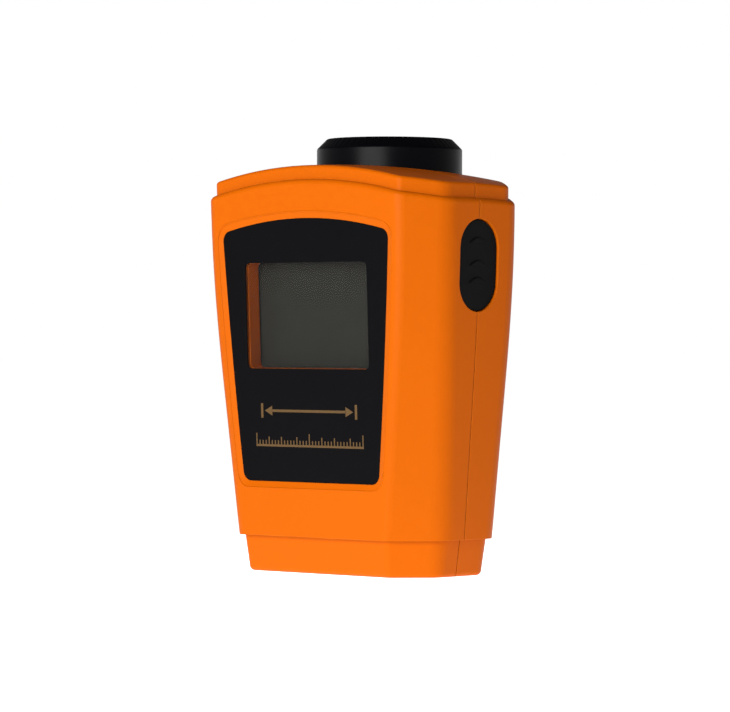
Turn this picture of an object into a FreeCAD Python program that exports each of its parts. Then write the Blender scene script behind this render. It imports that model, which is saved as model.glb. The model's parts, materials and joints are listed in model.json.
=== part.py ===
"""Hand-held ultrasonic distance meter with a laser pointer, as separate pieces (FreeCAD 1.1, mm).

The meter stands on its foot: +Z is up, the display faces -Y, and the origin is the middle of the foot.
Its shape is a rounded polygon in plan that grows wider and deeper towards the arched top, where the
sounding horn comes out. The two casing halves part in one upright plane across the sides.
"""
import FreeCAD
import Part
import Sketcher
import math
import os

from FreeCAD import Vector

doc = FreeCAD.newDocument("distance_meter")

# ---------------------------------------------------------------- driving dimensions

DIMENSIONS = [
    # casing, outside
    ("foot_top", 8.6), ("shoulder_top", 91.8), ("lip_top", 95.0), ("arch_radius", 128.0),
    ("side_half_top", 36.9), ("side_half_low", 32.4),
    ("face_half_top", 29.6), ("face_half_low", 22.9),
    ("front_top", 25.0), ("front_low", 21.4),
    ("rear_top", 25.0), ("rear_low", 21.0),
    ("rear_half_top", 19.0), ("rear_half_low", 17.8),
    ("facet_end_top", 15.2), ("facet_end_low", 11.4),
    ("flank_end_top", 8.5), ("flank_end_low", 5.7), ("crest_forward", 8.0), ("crest_radius", 260.0),
    ("face_corner", 3.4), ("flank_corner", 8.0), ("rear_flank_corner", 6.0), ("rear_corner", 3.2),
    ("lip_inset", 1.45), ("foot_inset", 1.4), ("foot_taper", 1.2),
    ("shoulder_round", 1.2), ("lip_round", 0.8), ("foot_round", 1.0),
    ("parting", -4.3), ("seam_width", 0.3), ("seam_depth", 0.35),
    # casing, inside
    ("wall", 2.2), ("face_wall", 5.0), ("floor_wall", 2.4), ("roof_wall", 2.4),
    # face panel, in the plane of the tilted face
    ("panel_low", 21.4), ("panel_high", 82.9), ("panel_half_low", 21.3), ("panel_half_mid", 24.1),
    ("panel_half_high", 26.2), ("panel_shoulder", 79.7), ("panel_corner", 2.4),
    ("bevel_width", 1.6), ("bevel_depth", 0.5), ("lens_thickness", 0.95), ("print_thickness", 0.15),
    ("window_width", 38.4), ("window_height", 24.7), ("window_low", 47.9), ("window_corner", 1.3),
    # display
    ("glass_width", 41.8), ("glass_height", 29.6), ("glass_low", 44.8), ("glass_thickness", 2.5),
    ("display_gap", 0.05), ("frame_wall", 1.4), ("frame_lip", 0.55), ("reflector_thickness", 0.3),
    ("zebra_length", 38.0), ("zebra_width", 1.8),
    # main board
    ("board_half", 21.0), ("board_low", 22.0), ("board_high", 79.2), ("board_depth", 10.4),
    ("board_thickness", 1.6), ("post_radius", 1.3),
    ("low_post_across", 17.0), ("low_post_height", 25.0),
    ("high_post_across", 18.5), ("high_post_height", 77.2),
    # horn and ultrasonic sensor
    ("horn_back", 5.8), ("collar_radius", 17.25), ("collar_top", 102.2), ("collar_chamfer", 2.45),
    ("mouth_radius", 13.6), ("throat_radius", 8.4), ("throat_height", 85.0), ("flange_radius", 18.0),
    ("flange_low", 86.4), ("flange_thickness", 2.0), ("socket_radius", 10.05),
    ("socket_low", 74.0), ("sensor_radius", 8.0), ("sensor_low", 74.5), ("sensor_height", 10.0),
    ("sensor_wall", 0.7), ("gasket_thickness", 0.35),
    # laser pointer
    ("laser_front", 17.6), ("barrel_radius", 3.0), ("barrel_low", 81.6), ("barrel_length", 11.4),
    ("barrel_bore", 2.2), ("aperture_radius", 1.8), ("laser_window_radius", 2.9),
    ("laser_window_thickness", 0.9),
    # measuring button and its switch
    ("button_hole_width", 13.5), ("button_hole_height", 21.4), ("button_height", 71.8),
    ("button_gap", 0.3), ("button_recess", 0.45), ("button_flange", 1.5), ("button_flange_thick", 1.2),
    ("button_flange_out", 33.1), ("switch_side", 6.0), ("switch_out", 29.4), ("switch_tip", 30.4),
    ("plunger_radius", 1.6), ("switch_board_out", 26.0),
    # battery, its bay and its door
    ("battery_width", 26.2), ("battery_deep", 17.4), ("battery_tall", 46.4), ("battery_low", 11.6),
    ("battery_front", 1.45), ("bay_wall", 1.5), ("bay_gap", 0.7), ("bay_top", 68.0), ("bay_low", 11.1),
    ("door_half", 16.0), ("door_low", 10.2), ("door_high", 69.8), ("door_thickness", 2.0),
    ("door_gap", 0.25), ("hinge_pin", 0.6), ("hinge_pin_length", 1.2),
    # fasteners
    ("screw_low_across", 20.8), ("screw_low_height", 14.4), ("screw_high_across", 15.6),
    ("screw_high_height", 82.5), ("screw_head_y", 6.0), ("screw_head_radius", 2.05),
    ("screw_radius", 1.0), ("screw_length", 17.0), ("boss_radius", 2.6), ("shaft_radius", 3.1),
]

sheet = doc.addObject("Spreadsheet::Sheet", "size")
for row, (alias, value) in enumerate(DIMENSIONS, start=1):
    sheet.set("A%d" % row, alias)
    sheet.set("B%d" % row, str(value))
    sheet.setAlias("B%d" % row, alias)
doc.recompute()


class Size:
    """A length together with the spreadsheet expression that gives it."""

    def __init__(self, value, text):
        self.value = float(value)
        self.text = text

    def __float__(self):
        return self.value

    def __add__(self, other):
        other = as_size(other)
        return Size(self.value + other.value, "(%s + %s)" % (self.text, other.text))

    def __sub__(self, other):
        other = as_size(other)
        return Size(self.value - other.value, "(%s - %s)" % (self.text, other.text))

    def __mul__(self, factor):
        return Size(self.value * factor, "(%s * %g)" % (self.text, factor))

    def __truediv__(self, divisor):
        return Size(self.value / divisor, "(%s / %g)" % (self.text, divisor))

    def __neg__(self):
        return Size(-self.value, "(0 - %s)" % self.text)

    def __radd__(self, other):
        return as_size(other) + self

    def __rsub__(self, other):
        return as_size(other) - self


def as_size(length):
    """The length as a Size; a plain number stands for itself."""
    return length if isinstance(length, Size) else Size(length, "%.6g" % length)


class Sheet:
    """Gives each spreadsheet cell by its alias, as a Size."""

    def __getattr__(self, alias):
        return Size(getattr(sheet, alias), "size." + alias)


d = Sheet()

# ---------------------------------------------------------------- helpers that make document objects

finished = []


def bind(item, **lengths):
    """Tie properties of a document object to the sheet."""
    for name, length in lengths.items():
        length = as_size(length)
        setattr(item, name, length.value)
        item.setExpression(name, length.text)


def place(item, x=0, y=0, z=0):
    """Put a document object's own origin at a point that follows the sheet."""
    point = [as_size(x), as_size(y), as_size(z)]
    item.Placement = FreeCAD.Placement(Vector(*[p.value for p in point]), item.Placement.Rotation)
    for letter, length in zip("xyz", point):
        item.setExpression("Placement.Base." + letter, length.text)
    return item


def box(name, low, size):
    """A block from its lowest corner and its three sides."""
    item = doc.addObject("Part::Box", name)
    bind(item, Length=size[0], Width=size[1], Height=size[2])
    return place(item, *low)


def cylinder(name, radius, length, start, axis="Z"):
    """A round bar from the middle of its first end, along one axis."""
    item = doc.addObject("Part::Cylinder", name)
    bind(item, Radius=radius, Height=length)
    turns = {"X": (Vector(0, 1, 0), 90), "Y": (Vector(1, 0, 0), -90), "Z": (Vector(0, 0, 1), 0)}
    item.Placement.Rotation = FreeCAD.Rotation(*turns[axis])
    return place(item, *start)


def cut(name, base, *tools):
    """The base with the tools taken away."""
    item = doc.addObject("Part::Cut", name)
    item.Base = base
    item.Tool = tools[0] if len(tools) == 1 else together(name + "_tools", *tools)
    return item


def together(name, *pieces):
    """Several pieces as one object; pieces that don't touch stay separate solids."""
    item = doc.addObject("Part::MultiFuse", name)
    item.Shapes = list(pieces)
    return item


def rounded(name, base, radius, keep):
    """The base with the edges that keep() picks made round."""
    doc.recompute()
    item = doc.addObject("Part::Fillet", name)
    item.Base = base
    picked = [n for n, edge in enumerate(base.Shape.Edges, start=1) if keep(edge)]
    item.Edges = [(n, float(radius), float(radius)) for n in picked]
    return item


def feature(name, shape):
    """A piece whose form is worked out by the functions below."""
    item = doc.addObject("Part::Feature", name)
    item.Shape = shape
    item.Placement = FreeCAD.Placement()
    return item


def upright(edge):
    """True for a straight edge along Z."""
    ends = edge.Vertexes
    if len(ends) != 2 or edge.Curve.TypeId != "Part::GeomLine":
        return False
    run = ends[1].Point - ends[0].Point
    return abs(run.x) < 1e-6 and abs(run.y) < 1e-6


def body_with_sketch(name, plane, corners):
    """A PartDesign body with a closed sketch whose corners are tied to the sheet."""
    body = doc.addObject("PartDesign::Body", name)
    sketch = body.newObject("Sketcher::SketchObject", name + "_sketch")
    origin_plane = [f for f in body.Origin.OriginFeatures if f.Role == plane][0]
    sketch.AttachmentSupport = [(origin_plane, "")]
    sketch.MapMode = "FlatFace"
    points = [(as_size(across), as_size(up)) for across, up in corners]
    for n, (across, up) in enumerate(points):
        after = points[(n + 1) % len(points)]
        start = Vector(across.value, up.value, 0)
        sketch.addGeometry(Part.LineSegment(start, Vector(after[0].value, after[1].value, 0)), False)
    for n, (across, up) in enumerate(points):
        sketch.addConstraint(Sketcher.Constraint("Coincident", n, 1, (n - 1) % len(points), 2))
        tie(sketch, "DistanceX", n, across, -2)
        tie(sketch, "DistanceY", n, up, -1)
    return body, sketch


def tie(sketch, kind, corner, length, axis):
    """Hold one coordinate of a sketch corner at a length from the sketch's origin."""
    if abs(length.value) < 1e-9:
        sketch.addConstraint(Sketcher.Constraint("PointOnObject", corner, 1, axis))
        return
    if length.value > 0:
        index = sketch.addConstraint(Sketcher.Constraint(kind, -1, 1, corner, 1, length.value))
    else:
        length = -length
        index = sketch.addConstraint(Sketcher.Constraint(kind, corner, 1, -1, 1, length.value))
    sketch.setExpression("Constraints[%d]" % index, length.text)


def turned(name, profile, x=0, y=0, z=0):
    """A round body: a profile of (radius, height) corners turned about its upright axis."""
    body, sketch = body_with_sketch(name, "XZ_Plane", profile)
    turn = body.newObject("PartDesign::Revolution", name + "_turn")
    turn.Profile = sketch
    turn.ReferenceAxis = (sketch, ["V_Axis"])
    turn.Angle = 360
    body.Tip = turn
    return place(body, x, y, z)


def finish(name, item, on_face=False):
    """Name a sub-part; pieces built square to the face are laid into the plane of the face."""
    if on_face:
        laid = doc.addObject("Part::Compound", item.Name + "_laid")
        laid.Links = [item]
        laid.Placement = FACE
        item = laid
    item.Label = name
    finished.append(item)


# ---------------------------------------------------------------- the casing's outer form

FACE_SLOPE = float(d.front_top - d.front_low) / float(d.shoulder_top - d.foot_top)
FACE_TILT = math.degrees(math.atan(FACE_SLOPE))
FACE_AT_FLOOR = float(d.front_top) - float(d.shoulder_top) * FACE_SLOPE
# In the face's own frame Y is the depth below the face and Z runs up along it.
FACE = FreeCAD.Placement(Vector(0, -FACE_AT_FLOOR, 0), FreeCAD.Rotation(Vector(1, 0, 0), FACE_TILT))

BEND_HEIGHT = 88.0      # above this the flanks stand upright
STRAIGHT_BELOW = 50.0   # below this the flanks lean in at a constant slope
SECTION_HEIGHTS = [8.6, 29.0, 50.0, 69.0, 88.0, 100.0]
SMALLEST_CORNER = 1.8
ROUND_STEPS = 5         # flat bands that make the foot's rounded rim
FOOT_OVERLAP = 1.0      # how far the foot reaches up into the main body
FOOT_CAVITY_TOP = 10.8  # where the casing's hollow widens above the foot
LASER_WINDOW_LOW = 93.95        # seat of the laser's window in the roof
BOARD_SCREW_RADIUS = 0.8
SWITCH_BOARD_THICKNESS = 1.6
SWITCH_BOARD_IN = float(d.switch_board_out) - SWITCH_BOARD_THICKNESS
LEAD_ACROSS = [-4.0, 4.0]       # the battery leads, left and right of the middle
LEAD_EXIT_HEIGHT = 62.0         # where they leave the snap connector and the bay
CROWN_LOW = 83.3                # edges of the main body above this belong to its arched top
LIP_LOW = 80.0                  # the raised lip starts inside the main body
LIP_HIGH = 100.0
OUTER_HALF = 60.0               # a half width that reaches past the casing
BOSS_FRONT = -20.5              # the screw bosses and the laser's saddle start inside the face wall
SADDLE_FRONT = -22.0
SADDLE_HALF = 4.6
SADDLE_HEIGHTS = (83.5, 90.0)
RIB_ACROSS = (22.9, 27.4)       # the two ribs that hold the switch board, one in each half
RIB_HEIGHTS = (65.5, 69.0)
FRONT_RIB = (-20.0, -11.5)
REAR_RIB = (1.8, 18.5)
BOARD_SLOT_HEIGHTS = (65.0, 70.0)
SHAFT_BACK = 24.5
PAST_BACK = 30.0                # behind every part of the casing


def narrowing(height):
    """How far down its taper the casing is: 0 at the upright top, 1 at the top of the foot."""
    def drop(level):
        curved = BEND_HEIGHT - STRAIGHT_BELOW
        if level >= BEND_HEIGHT:
            return 0.0
        if level >= STRAIGHT_BELOW:
            return (BEND_HEIGHT - level) ** 2 / 2
        return curved ** 2 / 2 + curved * (STRAIGHT_BELOW - level)
    return drop(height) / drop(float(d.foot_top))


def between(top, low, share):
    """A length part of the way from its upper to its lower value."""
    return float(top) + (float(low) - float(top)) * share


def plan_corners(height):
    """Corners of the right half of the plan, front to back, with the radius of each."""
    share = narrowing(height)
    down = (float(d.shoulder_top) - height) / float(d.shoulder_top - d.foot_top)
    front = -between(d.front_top, d.front_low, down)
    rear = between(d.rear_top, d.rear_low, share)
    side = between(d.side_half_top, d.side_half_low, share)
    return [
        (between(d.face_half_top, d.face_half_low, share), front, float(d.face_corner)),
        (side, -between(d.facet_end_top, d.facet_end_low, share), float(d.flank_corner)),
        (side, between(d.flank_end_top, d.flank_end_low, share), float(d.rear_flank_corner)),
        (between(d.rear_half_top, d.rear_half_low, share), rear, float(d.rear_corner)),
    ]


def meet(first, second):
    """Point where two lines meet; each is a point and a direction."""
    (p, u), (q, v) = first, second
    cross = u.x * v.y - u.y * v.x
    along = ((q.x - p.x) * v.y - (q.y - p.y) * v.x) / cross
    return p + u * along


def plan_outline(height, inset=0.0, face_inset=None):
    """The closed plan at one height, moved in all round; the face can be moved in further."""
    half = plan_corners(height)
    ring = half + [(-x, y, radius) for x, y, radius in reversed(half)]
    count = len(ring)
    lines = []
    for n in range(count):
        start = Vector(ring[n][0], ring[n][1], height)
        end = Vector(ring[(n + 1) % count][0], ring[(n + 1) % count][1], height)
        along = (end - start).normalize()
        inward = Vector(-along.y, along.x, 0)
        is_face = n == count - 1
        by = face_inset if is_face and face_inset is not None else inset
        lines.append((start + inward * by, along))
    points = [meet(lines[n - 1], lines[n]) for n in range(count)]
    edges = []
    starts, ends, middles = [], [], []
    for n in range(count):
        before, after = lines[n - 1][1], lines[n][1]
        turn = before.getAngle(after)
        radius = max(ring[n][2] - inset, SMALLEST_CORNER)
        reach = radius * math.tan(turn / 2)
        inward = (after - before).normalize()
        starts.append(points[n] - before * reach)
        ends.append(points[n] + after * reach)
        middles.append(points[n] + inward * radius * (1 / math.cos(turn / 2) - 1))
    for n in range(count):
        edges.append(Part.Arc(starts[n], middles[n], ends[n]).toShape())
        edges.append(Part.LineSegment(ends[n], starts[(n + 1) % count]).toShape())
    return Part.Wire(edges)


def tapered(heights, inset=0.0, face_inset=None):
    """A solid through the plan outlines at several heights."""
    return Part.makeLoft([plan_outline(h, inset, face_inset) for h in heights], True, len(heights) == 2)


def arched(top):
    """Everything under a roof that arches across the casing and, more gently, from front to back.

    The height is that of the roof's middle at the face. The solid is turned about an axis along X,
    from a profile that hangs below the axis, so that its seam is out of the way.
    """
    thicker = top - float(d.shoulder_top)
    across = float(d.arch_radius) + thicker
    along = float(d.crest_radius) + thicker
    rise = float(d.front_top - d.crest_forward) ** 2 / (2 * float(d.crest_radius))
    axis_point = Vector(0, -float(d.crest_forward), top + rise - along)
    end_depth = along - across + math.sqrt(across ** 2 - OUTER_HALF ** 2)
    left, right = Vector(-OUTER_HALF, 0, 0), Vector(OUTER_HALF, 0, 0)
    down = Vector(0, 0, -end_depth)
    curve = Part.Arc(axis_point + left + down, axis_point + Vector(0, 0, -along), axis_point + right + down)
    outline = Part.Wire([
        Part.LineSegment(axis_point + left, axis_point + left + down).toShape(),
        curve.toShape(),
        Part.LineSegment(axis_point + right + down, axis_point + right).toShape(),
        Part.LineSegment(axis_point + right, axis_point + left).toShape()])
    return Part.Face(outline).revolve(axis_point, Vector(1, 0, 0), 360)


def round_edges(solid, radius, keep):
    """The solid with the edges that keep() picks made round."""
    return solid.makeFillet(radius, [edge for edge in solid.Edges if keep(edge)])


def tapered_foot(skin):
    """The foot, drawn in below the main body, with its lower rim rounded in short steps."""
    def section(height, extra):
        lean = float(d.foot_taper) * (1 - height / float(d.foot_top))
        outline = plan_outline(float(d.foot_top), float(d.foot_inset) + skin + lean + extra)
        outline.translate(Vector(0, 0, height - float(d.foot_top)))
        return outline
    rim = float(d.foot_round)
    angles = [math.radians(90 * step / ROUND_STEPS) for step in range(ROUND_STEPS + 1)]
    outlines = [section(rim * (1 - math.cos(a)), rim * (1 - math.sin(a))) for a in angles]
    outlines.append(section(float(d.foot_top) + FOOT_OVERLAP, 0.0))
    return Part.makeLoft(outlines, True, True)


def casing_outside(skin=0.0):
    """Main body, raised lip and foot as one solid; a skin is taken off all round."""
    body = tapered(SECTION_HEIGHTS, skin).common(arched(float(d.shoulder_top) - skin))
    if not skin:
        body = round_edges(body, float(d.shoulder_round), lambda e: e.CenterOfMass.z > CROWN_LOW)
    inner = float(d.lip_inset) + skin
    lip = tapered([LIP_LOW, LIP_HIGH], inner).common(arched(float(d.lip_top) - skin))
    if not skin:
        lip = round_edges(lip, float(d.lip_round), lambda e: e.BoundBox.ZMin > CROWN_LOW)
    foot = tapered_foot(skin)
    return body.fuse([lip, foot])


def cavity():
    """The hollow inside the casing: a wide middle, a narrower crown and a narrower base."""
    wall, face = float(d.wall), float(d.face_wall)
    roof = float(d.roof_wall)
    middle = tapered([FOOT_CAVITY_TOP] + SECTION_HEIGHTS[1:], wall, face)
    middle = middle.common(arched(float(d.shoulder_top) - roof))
    crown = tapered([LIP_LOW, LIP_HIGH], wall + float(d.lip_inset), face)
    crown = crown.common(arched(float(d.lip_top) - roof))
    base_outline = plan_outline(float(d.foot_top), wall + float(d.foot_inset + d.foot_taper), face)
    base_outline.translate(Vector(0, 0, float(d.floor_wall) - float(d.foot_top)))
    base = Part.Face(base_outline).extrude(Vector(0, 0, FOOT_CAVITY_TOP))
    return middle.fuse([crown, base])


def half_space(front):
    """A block on one side of the parting plane."""
    reach = 100.0
    y = float(d.parting) - reach if front else float(d.parting)
    return Part.makeBox(2 * reach, reach, 2 * reach, Vector(-reach, y, -reach / 2))


def bar(radius, start, end):
    """A plain round bar between two points."""
    run = end - start
    return Part.makeCylinder(radius, run.Length, start, run)


def block(x, y, z):
    """A block from three (low, high) pairs."""
    return Part.makeBox(x[1] - x[0], y[1] - y[0], z[1] - z[0], Vector(x[0], y[0], z[0]))


def stadium(width, height, x, middle_z):
    """A slot-shaped prism along X, rounded above and below, centred on the parting plane."""
    radius = width / 2
    y = float(d.parting)
    rise = height / 2 - radius
    low = Part.makeCylinder(radius, x[1] - x[0], Vector(x[0], y, middle_z - rise), Vector(1, 0, 0))
    high = Part.makeCylinder(radius, x[1] - x[0], Vector(x[0], y, middle_z + rise), Vector(1, 0, 0))
    waist = block(x, (y - radius, y + radius), (middle_z - rise, middle_z + rise))
    return waist.fuse([low, high]).removeSplitter()


def panel_outline(depth, outset=0.0):
    """The face panel's outline in the face's own frame: leaning sides and an arched top."""
    low, high = float(d.panel_low) - outset, float(d.panel_high) + outset
    shoulder = float(d.panel_shoulder) + outset * 0.9
    foot_half, mid_half = float(d.panel_half_low) + outset * 0.9, float(d.panel_half_mid) + outset
    top_half = float(d.panel_half_high) + outset
    middle = (low + shoulder) / 2
    feet = [Vector(-foot_half, depth, low), Vector(foot_half, depth, low)]
    tops = [Vector(-top_half, depth, shoulder), Vector(top_half, depth, shoulder)]
    edges = [
        Part.LineSegment(feet[0], feet[1]).toShape(),
        Part.Arc(feet[1], Vector(mid_half, depth, middle), tops[1]).toShape(),
        Part.Arc(tops[1], Vector(0, depth, high), tops[0]).toShape(),
        Part.Arc(tops[0], Vector(-mid_half, depth, middle), feet[0]).toShape(),
    ]
    plate = Part.Face(Part.Wire(edges)).extrude(Vector(0, 1, 0))
    corners = [e for e in plate.Edges if abs(e.Vertexes[0].Y - e.Vertexes[-1].Y) > 0.5]
    plate = plate.makeFillet(float(d.panel_corner) + outset * 0.5, corners)
    return [f for f in plate.Faces if f.BoundBox.YMax < depth + 1e-4][0].OuterWire


def panel_plate(depth, thickness, inset=0.0):
    """A plate of the panel's outline between two depths below the face."""
    return Part.Face(panel_outline(depth, -inset)).extrude(Vector(0, thickness, 0))


def window_block(depth, thickness, margin=0.0):
    """The display window as a prism with rounded corners."""
    width, height = float(d.window_width) + 2 * margin, float(d.window_height) + 2 * margin
    low = float(d.window_low) - margin
    prism = block((-width / 2, width / 2), (depth, depth + thickness), (low, low + height))
    corners = [e for e in prism.Edges if abs(e.Vertexes[0].Y - e.Vertexes[-1].Y) > 1e-6]
    return prism.makeFillet(float(d.window_corner), corners)


def on_face(shape):
    """A shape from the face's own frame, laid into the tilted face."""
    laid = shape.copy()
    laid.Placement = FACE.multiply(shape.Placement)
    return laid


def mirrored_points(across, height):
    """The same place left and right."""
    return [(-float(across), float(height)), (float(across), float(height))]


CASE_SCREWS = (mirrored_points(d.screw_low_across, d.screw_low_height)
               + mirrored_points(d.screw_high_across, d.screw_high_height))
BOARD_POSTS = (mirrored_points(d.low_post_across, d.low_post_height)
               + mirrored_points(d.high_post_across, d.high_post_height))


def seam_groove():
    """The fine groove left all round where the two halves meet."""
    half = float(d.seam_width) / 2
    y = float(d.parting)
    slab = block((-OUTER_HALF, OUTER_HALF), (y - half, y + half), (-10, 120))
    return slab.cut(casing_outside(float(d.seam_depth)))


def shared_openings():
    """Holes that both casing halves share: the horn's and the button's."""
    collar_gap, flange_play = 0.2, 0.5
    through = 20.0
    flange_room_low = float(d.flange_low) - flange_play
    horn = Part.makeCylinder(float(d.collar_radius) + collar_gap, through,
                             Vector(0, float(d.horn_back), flange_room_low))
    flange = Part.makeCylinder(float(d.flange_radius) + collar_gap,
                               float(d.flange_thickness) + 2 * flange_play,
                               Vector(0, float(d.horn_back), flange_room_low))
    button = stadium(float(d.button_hole_width), float(d.button_hole_height), (30, 40),
                     float(d.button_height))
    room = 2 * (float(d.button_flange) + 0.4)
    relief = stadium(float(d.button_hole_width) + room, float(d.button_hole_height) + room,
                     (30, float(d.button_flange_out) + 0.25), float(d.button_height))
    return [horn, flange, button, relief]


def front_shell_shape(outside, hollow):
    """Front half: the face with its recessed panel seat, window, laser hole, bosses and posts."""
    inner_face = float(d.face_wall)
    extras = []
    for x, z in CASE_SCREWS:
        extras.append(bar(float(d.boss_radius), Vector(x, BOSS_FRONT, z), Vector(x, float(d.parting), z)))
    saddle = block((-SADDLE_HALF, SADDLE_HALF), (SADDLE_FRONT, -float(d.laser_front)), SADDLE_HEIGHTS)
    rib = block(RIB_ACROSS, FRONT_RIB, RIB_HEIGHTS)
    posts = [Part.makeCylinder(float(d.post_radius), float(d.board_depth) - inner_face + 0.6,
                               Vector(x, inner_face - 0.6, z), Vector(0, 1, 0))
             for x, z in BOARD_POSTS]
    extras += [saddle, rib] + [on_face(post) for post in posts]
    solid = outside.common(half_space(True)).cut(hollow)
    solid = solid.fuse([extra.common(outside) for extra in extras])

    seat_depth = float(d.bevel_depth + d.lens_thickness + d.print_thickness)
    bevel_depth = float(d.bevel_depth)
    over = 0.2
    slope = float(d.bevel_width) / bevel_depth
    bevel = Part.makeLoft([panel_outline(-over, float(d.bevel_width) + over * slope),
                           panel_outline(bevel_depth, 0.0)], True, True)
    seat = panel_plate(bevel_depth - 0.01, seat_depth - bevel_depth + 0.01)
    window = window_block(seat_depth - 0.1, 4.0)
    cuts = [on_face(shape) for shape in (bevel, seat, window)]
    laser_y = -float(d.laser_front)
    laser_gap = 0.05
    cuts.append(Part.makeCylinder(float(d.barrel_radius) + laser_gap, 12.6, Vector(0, laser_y, 80.6)))
    cuts.append(Part.makeCylinder(float(d.aperture_radius), 10, Vector(0, laser_y, 90)))
    cuts.append(Part.makeCylinder(float(d.laser_window_radius) + laser_gap, 5,
                                  Vector(0, laser_y, LASER_WINDOW_LOW)))
    for x, z in CASE_SCREWS:
        cuts.append(bar(float(d.screw_radius) + 0.05, Vector(x, -12.0, z), Vector(x, 0, z)))
    for x, z in BOARD_POSTS:
        pilot = Part.makeCylinder(BOARD_SCREW_RADIUS + 0.05, 5.0,
                                  Vector(x, float(d.board_depth) - 4.8, z), Vector(0, 1, 0))
        cuts.append(on_face(pilot))
    slot = block((SWITCH_BOARD_IN - 0.05, float(d.switch_board_out) + 0.05), (-13.2, -10),
                 BOARD_SLOT_HEIGHTS)
    return solid.cut(cuts + [slot] + shared_openings() + [seam_groove()])


def door_block(gap):
    """The space over the battery door, with an even gap round it."""
    half = float(d.door_half) + gap
    return block((-half, half), (15, PAST_BACK), (float(d.door_low) - gap, float(d.door_high) + gap))


def hinge_axis_point():
    """Middle of the door's hinge: inside the rounded lower edge of the door."""
    half_thickness = float(d.door_thickness) / 2
    height = float(d.door_low) + half_thickness
    rear = between(d.rear_top, d.rear_low, narrowing(height))
    return Vector(0, rear - half_thickness, height)


def rear_shell_shape(outside, hollow):
    """Rear half: battery bay, door recess, screw shafts and the switch board's rib."""
    reach = float(d.battery_width) / 2 + float(d.bay_gap)
    wall = float(d.bay_wall)
    front = float(d.battery_front) - 0.3
    solid = outside.common(half_space(False)).cut(hollow)
    tub = block((-reach - wall, reach + wall), (front - wall, 24),
                (float(d.bay_low) - wall, float(d.bay_top) + wall)).common(outside)
    extras = [tub]
    for x, z in CASE_SCREWS:
        shaft = bar(float(d.shaft_radius), Vector(x, float(d.parting), z), Vector(x, SHAFT_BACK, z))
        extras.append(shaft.common(outside))
    extras.append(block(RIB_ACROSS, REAR_RIB, RIB_HEIGHTS).common(outside))
    solid = solid.fuse(extras)

    inner_skin = casing_outside(float(d.door_thickness) + 0.12)
    recess = door_block(float(d.door_gap)).cut(inner_skin)
    bay = block((-reach, reach), (front, PAST_BACK), (float(d.bay_low), float(d.bay_top)))
    pivot = hinge_axis_point()
    pin_reach = float(d.door_half + d.hinge_pin_length) + 0.3
    knuckle = bar(float(d.hinge_pin) + 0.06, pivot - Vector(pin_reach, 0, 0), pivot + Vector(pin_reach, 0, 0))
    edge_room = bar(float(d.door_thickness) / 2 + 0.3, pivot - Vector(float(d.door_half) + 0.25, 0, 0),
                    pivot + Vector(float(d.door_half) + 0.25, 0, 0))
    latch_room = block((-5.0, 5.0), (18, 23.4), (float(d.bay_top) - 1, float(d.door_high) + 1.2))
    cuts = [recess, bay, knuckle, edge_room, latch_room.common(inner_skin)]
    for x, z in CASE_SCREWS:
        cuts.append(bar(float(d.screw_radius) + 0.3, Vector(x, -10, z), Vector(x, PAST_BACK, z)))
        seat = Vector(x, float(d.screw_head_y), z)
        cuts.append(bar(float(d.screw_head_radius) + 0.3, seat, Vector(x, PAST_BACK, z)))
    cuts.append(block((SWITCH_BOARD_IN - 0.05, float(d.switch_board_out) + 0.05), (0, 4.2),
                      BOARD_SLOT_HEIGHTS))
    for x in LEAD_ACROSS:
        cuts.append(bar(1.0, Vector(x, -2, LEAD_EXIT_HEIGHT), Vector(x, 4, LEAD_EXIT_HEIGHT)))
    return solid.cut(cuts + shared_openings() + [seam_groove()])


def button_shape():
    """The stadium-shaped key: a cap that follows the flank, a flange behind it and a short stem."""
    gap = float(d.button_gap)
    middle = float(d.button_height)
    out = float(d.button_flange_out)
    thick = float(d.button_flange_thick)
    cap = stadium(float(d.button_hole_width) - 2 * gap, float(d.button_hole_height) - 2 * gap,
                  (out - 0.2, 40), middle).common(casing_outside(float(d.button_recess)))
    flange = stadium(float(d.button_hole_width + d.button_flange * 2),
                     float(d.button_hole_height + d.button_flange * 2), (out - thick, out), middle)
    stem = Part.makeCylinder(1.8, out - thick - float(d.switch_tip) + 0.2,
                             Vector(float(d.switch_tip), float(d.parting), middle), Vector(1, 0, 0))
    return cap.fuse([flange, stem])


def door_shape():
    """The battery door: a plate that follows the back, with hinge pins and a snap tongue."""
    plate = door_block(0.0).common(OUTSIDE).cut(casing_outside(float(d.door_thickness)))
    pivot = hinge_axis_point()
    radius = float(d.door_thickness) / 2
    half = Vector(float(d.door_half), 0, 0)
    reach = Vector(float(d.door_half + d.hinge_pin_length), 0, 0)
    edge = block((-60, 60), (10, 40), (0, pivot.z))
    plate = plate.cut(edge).fuse([bar(radius, pivot - half, pivot + half),
                                  bar(float(d.hinge_pin), pivot - reach, pivot + reach)])
    top = float(d.door_high)
    tongue_half, tongue_length, slot_width = 4.0, 9.0, 0.7
    slots = [block((x, x + slot_width), (15, PAST_BACK), (top - tongue_length, top + 1))
             for x in (-tongue_half - slot_width, tongue_half)]
    groove_half, groove_radius = 7.0, 0.45
    grip = []
    for z in (52.0, 54.2, 56.4):
        back = between(d.rear_top, d.rear_low, narrowing(z))
        grip.append(bar(groove_radius, Vector(-groove_half, back, z), Vector(groove_half, back, z)))
    return plate.cut(slots + grip).removeSplitter()


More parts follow.
